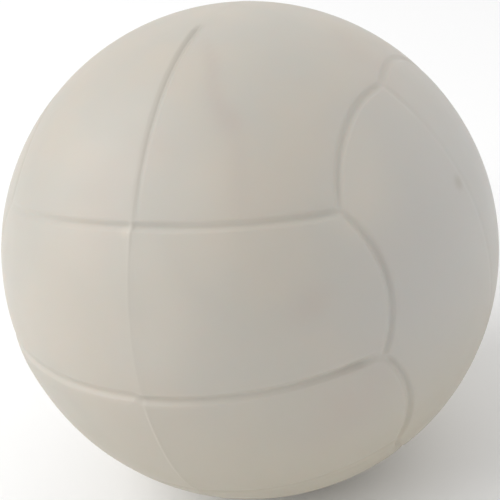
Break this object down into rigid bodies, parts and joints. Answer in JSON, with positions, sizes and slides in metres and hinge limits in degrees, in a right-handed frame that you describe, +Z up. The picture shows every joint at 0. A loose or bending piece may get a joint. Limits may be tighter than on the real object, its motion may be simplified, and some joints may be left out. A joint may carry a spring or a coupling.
{
  "type": "foosball ball",
  "caption": "Off-white table-football ball: engraved half shells with panel grooves, tongued and cemented together over a solid core.",
  "frame": {"origin": "centre of the ball", "axes": "+X across the joint between the half shells, -Y the front, +Z up"},
  "size_m": [0.035, 0.035, 0.035],
  "materials": {
    "shell": "satin moulded plastic, bone white",
    "cement": "set cement, cream",
    "core": "plain moulded plastic, grey"
  },
  "bodies": {
    "root": {"left_half_shell": "shell", "right_half_shell": "shell", "cement_ring": "cement", "core": "core"}
  },
  "joints": []
}
